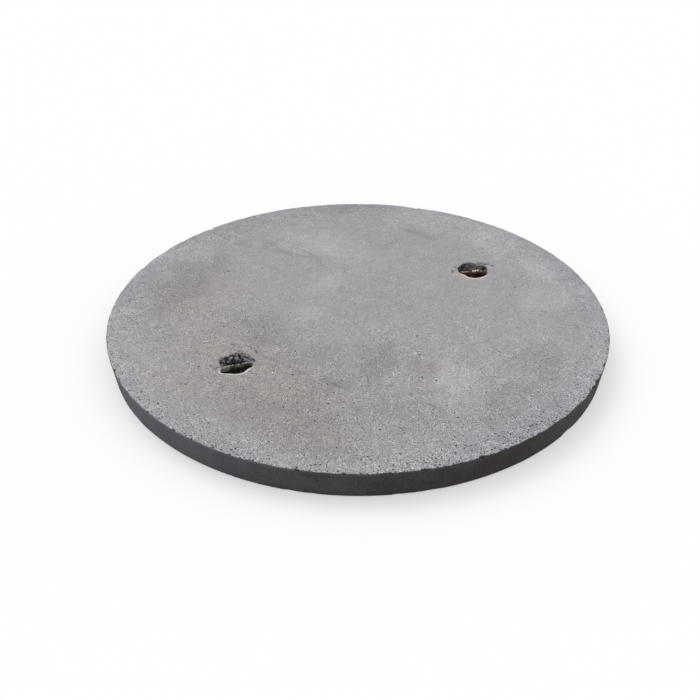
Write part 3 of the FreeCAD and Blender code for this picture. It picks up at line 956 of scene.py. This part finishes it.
def per_metre(millimetres):
    """Texture scale whose pattern repeats about every so many millimetres."""
    return 1 / (millimetres * MM)


def trowelled_concrete(finish):
    """Cast concrete with a hand-trowelled face: floated cement paste with fine sand showing through, mottled
    where it dried unevenly, pricked with pin-holes in painted shade, and darker and smoother where it lay against
    the form, darker there partly as painted shade."""
    material, tree, shader, place = start_material(
        "trowelled_concrete", {"Roughness": 0.92, "Specular IOR Level": 0.25})
    tone, warmth, grit, form = (
        add(tree, "Attribute", attribute_name=name).outputs["Fac"] for name in ("tone", "warmth", "grit", "form"))
    painted_mark = add(tree, "Attribute", attribute_name="painted_mark")

    # Sand is under 1 mm wide: its clumps are drawn 2.6 mm and its grains 1.15 mm wide, as coarse as they need to
    # be to show. Both lie bare in patches 16 mm wide, and gritty paste shows more grains and fewer clumps
    sand = add(tree, "TexNoise", {"Vector": place, "Scale": per_metre(2.6), "Detail": 2.0, "Roughness": 0.6})
    grains = add(tree, "TexVoronoi", {"Vector": place, "Scale": per_metre(1.15)}, voronoi_dimensions="2D")
    grain = add(tree, "SeparateColor", {0: grains.outputs["Color"]})
    grain = add(tree, "Math", {0: grain, 1: 0.75}, operation="POWER")
    bare = add(tree, "TexNoise", {"Vector": place, "Scale": per_metre(16), "Detail": 2.0})
    bare = add(tree, "MapRange", {0: bare, 1: 0.32, 2: 0.68, 3: 0.35, 4: 1.6})
    shares = []
    for per_grit, least in ((-0.46, 0.50), (0.95, 0.40)):
        share = add(tree, "Math", {0: grit, 1: per_grit, 2: least}, operation="MULTIPLY_ADD")
        shares.append(add(tree, "Math", {0: share, 1: bare}, operation="MULTIPLY"))

    # Drying leaves blotches 38 mm and clouds 190 mm wide. Each pattern swings about its own mean
    mottle = add(tree, "TexNoise", {
        "Vector": place, "Scale": per_metre(38), "Detail": 8.0, "Roughness": 0.62, "Distortion": 1.4})
    cloud = add(tree, "TexNoise", {"Vector": place, "Scale": per_metre(190), "Detail": 3.0, "Roughness": 0.5})
    level = 0.5
    for pattern, mean, share in (
            (sand, 0.5, shares[0]), (grain, 0.571, shares[1]), (mottle, 0.5, 0.34), (cloud, 0.5, 0.07)):
        swing = add(tree, "Math", {0: pattern, 1: mean}, operation="SUBTRACT")
        level = add(tree, "Math", {0: swing, 1: share, 2: level}, operation="MULTIPLY_ADD")
    for mark in MARKS:
        oval = add(tree, "Mapping", {
            "Vector": place, "Location": (mark.x * MM, mark.y * MM, SLAB_HIGH.z),
            "Rotation": (0, 0, math.radians(mark.turn)),
            "Scale": (mark.long * MM, mark.wide * MM, 1)}, vector_type="TEXTURE")
        cone = add(tree, "TexGradient", {"Vector": oval}, gradient_type="SPHERICAL").outputs["Fac"]
        level = add(tree, "Math", {0: cone, 1: mark.amount, 2: level}, operation="MULTIPLY_ADD")
    level = add(tree, "Math", {0: tone, 1: 0.19, 2: level}, operation="MULTIPLY_ADD")
    paste = add(tree, "ValToRGB", {"Fac": level})
    stops = paste.color_ramp.elements
    stops.new(0.5)
    for stop, colour in zip(stops, (finish.paste_dark, finish.paste, finish.paste_pale)):
        stop.color = colour
    warm = add(tree, "Math", {0: warmth, 1: 0.5, 2: 0.5}, operation="MULTIPLY_ADD", use_clamp=True)
    tint = add(tree, "Mix", {0: warm, 6: tuple(finish.cool), 7: tuple(finish.warm)}, data_type="RGBA")
    face = add(tree, "Mix", {0: 1.0, 6: paste, 7: tint}, data_type="RGBA", blend_type="MULTIPLY")

    # Air bubbles up to 4 mm wide, one to each 7 mm, of which more are open where the paste is gritty, filled with
    # painted shade
    bubbles = add(tree, "TexVoronoi", {"Vector": place, "Scale": per_metre(7)}, voronoi_dimensions="2D")
    chance = add(tree, "SeparateColor", {0: bubbles.outputs["Color"]})
    gritty = add(tree, "Math", {0: grit, 1: 4.0}, operation="POWER")
    shut = add(tree, "Math", {0: gritty, 1: -0.90, 2: 1.0}, operation="MULTIPLY_ADD")
    size = add(tree, "MapRange", {0: chance, 1: shut, 2: 1.0, 3: 0.0, 4: 0.29})
    holes = add(tree, "Math", {0: bubbles.outputs["Distance"], 1: size}, operation="LESS_THAN")
    shade = add(tree, "Math", {0: holes, 1: 0.85}, operation="MULTIPLY")
    face = add(tree, "Mix", {0: shade, 6: face, 7: tuple(finish.pin_hole)}, data_type="RGBA")

    # Soil clouds 45 mm wide on the form face with the sand's grain, and the side's painted light and shade by
    # bearing from the tone attribute, mix its two colours
    soil = add(tree, "TexNoise", {"Vector": place, "Scale": per_metre(45), "Detail": 6.0, "Roughness": 0.6})
    soiled = -0.63
    for pattern, share in ((soil, 0.8), (sand, 1.1), (tone, 0.5)):
        soiled = add(tree, "Math", {0: pattern, 1: share, 2: soiled}, operation="MULTIPLY_ADD")
    soiled.use_clamp = True
    side = add(tree, "Mix", {0: soiled, 6: tuple(finish.side_dark), 7: tuple(finish.side_pale)}, data_type="RGBA")

    # The two meet in a frayed line along the arris, broken by crumbs 5 mm wide
    crumbs = add(tree, "TexNoise", {"Vector": place, "Scale": per_metre(5), "Detail": 3.0, "Roughness": 0.65})
    frayed = add(tree, "Math", {0: crumbs, 1: 1.3, 2: form}, operation="MULTIPLY_ADD")
    on_form = add(tree, "MapRange", {0: frayed, 1: 1.05, 2: 1.25})
    colour = add(tree, "Mix", {0: on_form, 6: face, 7: side}, data_type="RGBA")

    # What is painted on the mesh, painted shade and highlights among it, is speckled by the sand
    speck = add(tree, "MapRange", {0: sand, 1: 0.25, 2: 0.75, 3: 0.55, 4: 1.45})
    stained = add(tree, "VectorMath", {0: painted_mark.outputs["Color"], 3: speck}, operation="SCALE")
    colour = add(tree, "Mix", {0: painted_mark.outputs["Alpha"], 6: colour, 7: stained}, data_type="RGBA")
    tree.links.new(colour.outputs[2], shader.inputs["Base Color"])
    relief = add(tree, "Math", {0: holes, 1: -3.0, 2: sand}, operation="MULTIPLY_ADD")
    bump = add(tree, "Bump", {"Height": relief, "Distance": 0.7 * MM, "Strength": 0.8})
    tree.links.new(bump.outputs[0], shader.inputs["Normal"])
    return material


def bar_finish(name, dark, pale, roughness):
    """Weathered steel bar: two colours mixed by 5 mm blotches, mortar lumps and bands of painted shade and
    highlight laid over, and all of it speckled by 2.4 mm grains and pitted every 2 mm."""
    material, tree, shader, place = start_material(name, {"Roughness": roughness})
    painted_mark = add(tree, "Attribute", attribute_name="painted_mark")
    blotch = add(tree, "TexNoise", {"Vector": place, "Scale": per_metre(5), "Detail": 4.0, "Roughness": 0.65})
    share = add(tree, "MapRange", {0: blotch, 1: 0.38, 2: 0.68})
    steel = add(tree, "Mix", {0: share, 6: tuple(dark), 7: tuple(pale)}, data_type="RGBA")
    colour = add(tree, "Mix", {0: painted_mark.outputs["Alpha"], 6: steel, 7: painted_mark.outputs["Color"]}, data_type="RGBA")
    grains = add(tree, "TexVoronoi", {"Vector": place, "Scale": per_metre(2.4)})
    grain = add(tree, "SeparateColor", {0: grains.outputs["Color"]})
    speck = add(tree, "MapRange", {0: grain, 3: 0.45, 4: 1.6})
    speckled = add(tree, "VectorMath", {0: colour, 3: speck}, operation="SCALE")
    tree.links.new(speckled.outputs[0], shader.inputs["Base Color"])
    pits = add(tree, "TexNoise", {"Vector": place, "Scale": per_metre(2), "Detail": 3.0})
    bump = add(tree, "Bump", {"Height": pits, "Distance": 0.4 * MM})
    tree.links.new(bump.outputs[0], shader.inputs["Normal"])
    return material


def mortared_steel(finish):
    """Mild steel under a skin of splashed mortar: olive grey, matt and knobbly."""
    return bar_finish("mortared_mild_steel", finish.crust_dark, finish.crust, 0.9)


def rusted_steel(finish):
    """Mild steel rusted through its mill scale: dark brown scale with orange and tan blooms."""
    return bar_finish("rusted_mild_steel", finish.rust_dark, finish.rust, 0.85)


def seen_in_picture(tree):
    """1 for a ray from the camera, also by a mirror or through glass, and 0 for one that only carries light."""
    path = add(tree, "LightPath")
    seen = add(tree, "Math", {0: path.outputs["Is Camera Ray"], 1: path.outputs["Is Glossy Ray"]},
               operation="MAXIMUM")
    return add(tree, "Math", {0: seen, 1: path.outputs["Is Transmission Ray"]}, operation="MAXIMUM")


def pale_floor():
    """A matt white sheet. The camera sees it white with a light shadow of the cover on it, and it lights the cover
    as grey paving would, so that the side isn't lit from below."""
    material, tree, shader, _ = start_material("matt_white_sheet", {"Roughness": 1.0, "Specular IOR Level": 0.0})
    seen = seen_in_picture(tree)
    colour = add(tree, "Mix", {0: seen, 6: linear("8c8c8c"), 7: linear("ffffff")}, data_type="RGBA")
    tree.links.new(colour.outputs[2], shader.inputs["Base Color"])
    white = add(tree, "Emission", {"Color": linear("ffffff"), "Strength": 1.0})
    share = add(tree, "Math", {0: seen, 1: 0.45}, operation="MULTIPLY")
    sheet = add(tree, "MixShader", {0: share, 1: shader, 2: white})
    tree.links.new(sheet.outputs[0], tree.nodes["Material Output"].inputs["Surface"])
    return material


# Stage


class StageSettings(bpy.types.PropertyGroup):
    """Camera, light and floor."""
    lens: bpy.props.FloatProperty(name="Lens", description="Focal length (mm)", default=60.863)
    aim: bpy.props.FloatVectorProperty(
        name="Aim", description="Point at the picture's middle", default=(-88.6 * MM, -92.3 * MM, SLAB_HIGH.z),
        subtype="TRANSLATION")
    distance: length_property("Distance", "From the aim to the camera", 2276.35)
    azimuth: angle_property("Azimuth", "Turn of the camera round the cover", -36.837)
    elevation: angle_property("Elevation", "Camera's angle above the floor", 33.621)
    roll: angle_property("Roll", "Camera's turn about its own view", 0.125)
    sky: bpy.props.FloatProperty(
        name="Sky", description="Light of the overcast sky on a level face", default=0.86)
    sun: bpy.props.FloatProperty(name="Sun", description="Light of the veiled sun on a level face", default=0.18)
    sun_azimuth: angle_property("Sun azimuth", "Bearing of the sun from +X", 98)
    sun_height: angle_property("Sun height", "Sun's angle above the floor", 52)
    sun_spread: angle_property("Sun spread", "Width of the sun behind its veil", 40)
    floor_size: length_property("Floor size", "Side of the floor", 16000)
    floor_gap: length_property("Floor gap", "Space between the cover and the floor", 0.3)


def overcast_world(settings):
    """Overcast sky, L = Lz (1 + 2 sin h) / 3, whose light on a level face adds up to 7 Lz / 9. It is bluer on
    the picture's left and warmer on its right, and what the camera sees of it is white."""
    world = bpy.data.worlds.new("overcast")
    world.use_nodes = True
    bpy.context.scene.world = world
    tree = world.node_tree
    direction = add(tree, "TexCoord").outputs["Generated"]
    height = add(tree, "SeparateXYZ", {0: direction}).outputs["Z"]
    zenith = settings.sky * 9 / 7
    above = add(tree, "Math", {0: height, 1: 0.0}, operation="MAXIMUM")
    light = add(tree, "Math", {0: above, 1: zenith * 2 / 3, 2: zenith / 3}, operation="MULTIPLY_ADD")
    right = (math.cos(settings.azimuth), math.sin(settings.azimuth), 0)
    aside = add(tree, "VectorMath", {0: direction, 1: right}, operation="DOT_PRODUCT")
    share = add(tree, "MapRange", {0: aside, 1: -1.0, 2: 1.0})
    tint = add(tree, "Mix", {0: share, 6: linear("f4f8ff"), 7: linear("fff9f2")}, data_type="RGBA")
    sky = tree.nodes["Background"]
    tree.links.new(tint.outputs[2], sky.inputs["Color"])
    tree.links.new(light.outputs[0], sky.inputs["Strength"])
    white = add(tree, "Background", {"Color": linear("ffffff"), "Strength": 1.0})
    shown = add(tree, "MixShader", {0: seen_in_picture(tree), 1: sky, 2: white})
    tree.links.new(shown.outputs[0], tree.nodes["World Output"].inputs["Surface"])


def direction_of(azimuth, height):
    """Unit vector at an angle from +X in plan and a height above the floor."""
    return Vector((math.cos(azimuth) * math.cos(height), math.sin(azimuth) * math.cos(height), math.sin(height)))


class SetStage(bpy.types.Operator):
    """Lays the floor, lights the cover and places the camera"""
    bl_idname = "cover.set_stage"
    bl_label = "Set stage"

    def execute(self, context):
        scene, settings = context.scene, context.scene.cover_stage
        scene.view_settings.view_transform = "Standard"
        overcast_world(settings)

        half, below = settings.floor_size / 2, -settings.floor_gap
        mesh = bpy.data.meshes.new("floor")
        corners = [(-half, -half, below), (half, -half, below), (half, half, below), (-half, half, below)]
        mesh.from_pydata(corners, [], [(0, 1, 2, 3)])
        mesh.materials.append(pale_floor())
        floor = bpy.data.objects.new("floor", mesh)
        scene.collection.objects.link(floor)

        sun = bpy.data.lights.new("veiled_sun", "SUN")
        sun.energy = settings.sun * math.pi / math.sin(settings.sun_height)
        sun.angle = settings.sun_spread
        lamp = bpy.data.objects.new("veiled_sun", sun)
        towards = direction_of(settings.sun_azimuth, settings.sun_height)
        lamp.rotation_euler = (-towards).to_track_quat("-Z", "Y").to_euler()
        scene.collection.objects.link(lamp)

        data = bpy.data.cameras.new("camera")
        data.lens = settings.lens
        camera = bpy.data.objects.new("camera", data)
        back = direction_of(settings.azimuth - math.pi / 2, settings.elevation)
        camera.location = Vector(settings.aim) + back * settings.distance
        look = (-back).to_track_quat("-Z", "Y") @ Quaternion((0, 0, 1), settings.roll)
        camera.rotation_euler = look.to_euler()
        scene.collection.objects.link(camera)
        scene.camera = camera
        return {"FINISHED"}


class CoverPanel(bpy.types.Panel):
    """Lists the steps that make the cover"""
    bl_idname = "VIEW3D_PT_cover"
    bl_label = "Concrete cover"
    bl_space_type = "VIEW_3D"
    bl_region_type = "UI"
    bl_category = "Cover"

    def draw(self, context):
        for step in OPERATORS:
            self.layout.operator(step.bl_idname)


GROUPS = {"cover_slab": SlabSizes, "cover_bars": BarSizes, "cover_finish": Finish, "cover_stage": StageSettings}
OPERATORS = (CastSlab, BendBars, SetStage)


def register():
    for kind in (*GROUPS.values(), *OPERATORS, CoverPanel):
        bpy.utils.register_class(kind)
    for name, group in GROUPS.items():
        setattr(bpy.types.Scene, name, bpy.props.PointerProperty(type=group))


def unregister():
    for name in GROUPS:
        delattr(bpy.types.Scene, name)
    for kind in reversed((*GROUPS.values(), *OPERATORS, CoverPanel)):
        bpy.utils.unregister_class(kind)


def main():
    register()
    bpy.ops.cover.cast_slab()
    bpy.ops.cover.bend_bars()
    bpy.ops.cover.set_stage()


if __name__ == "__main__":
    main()
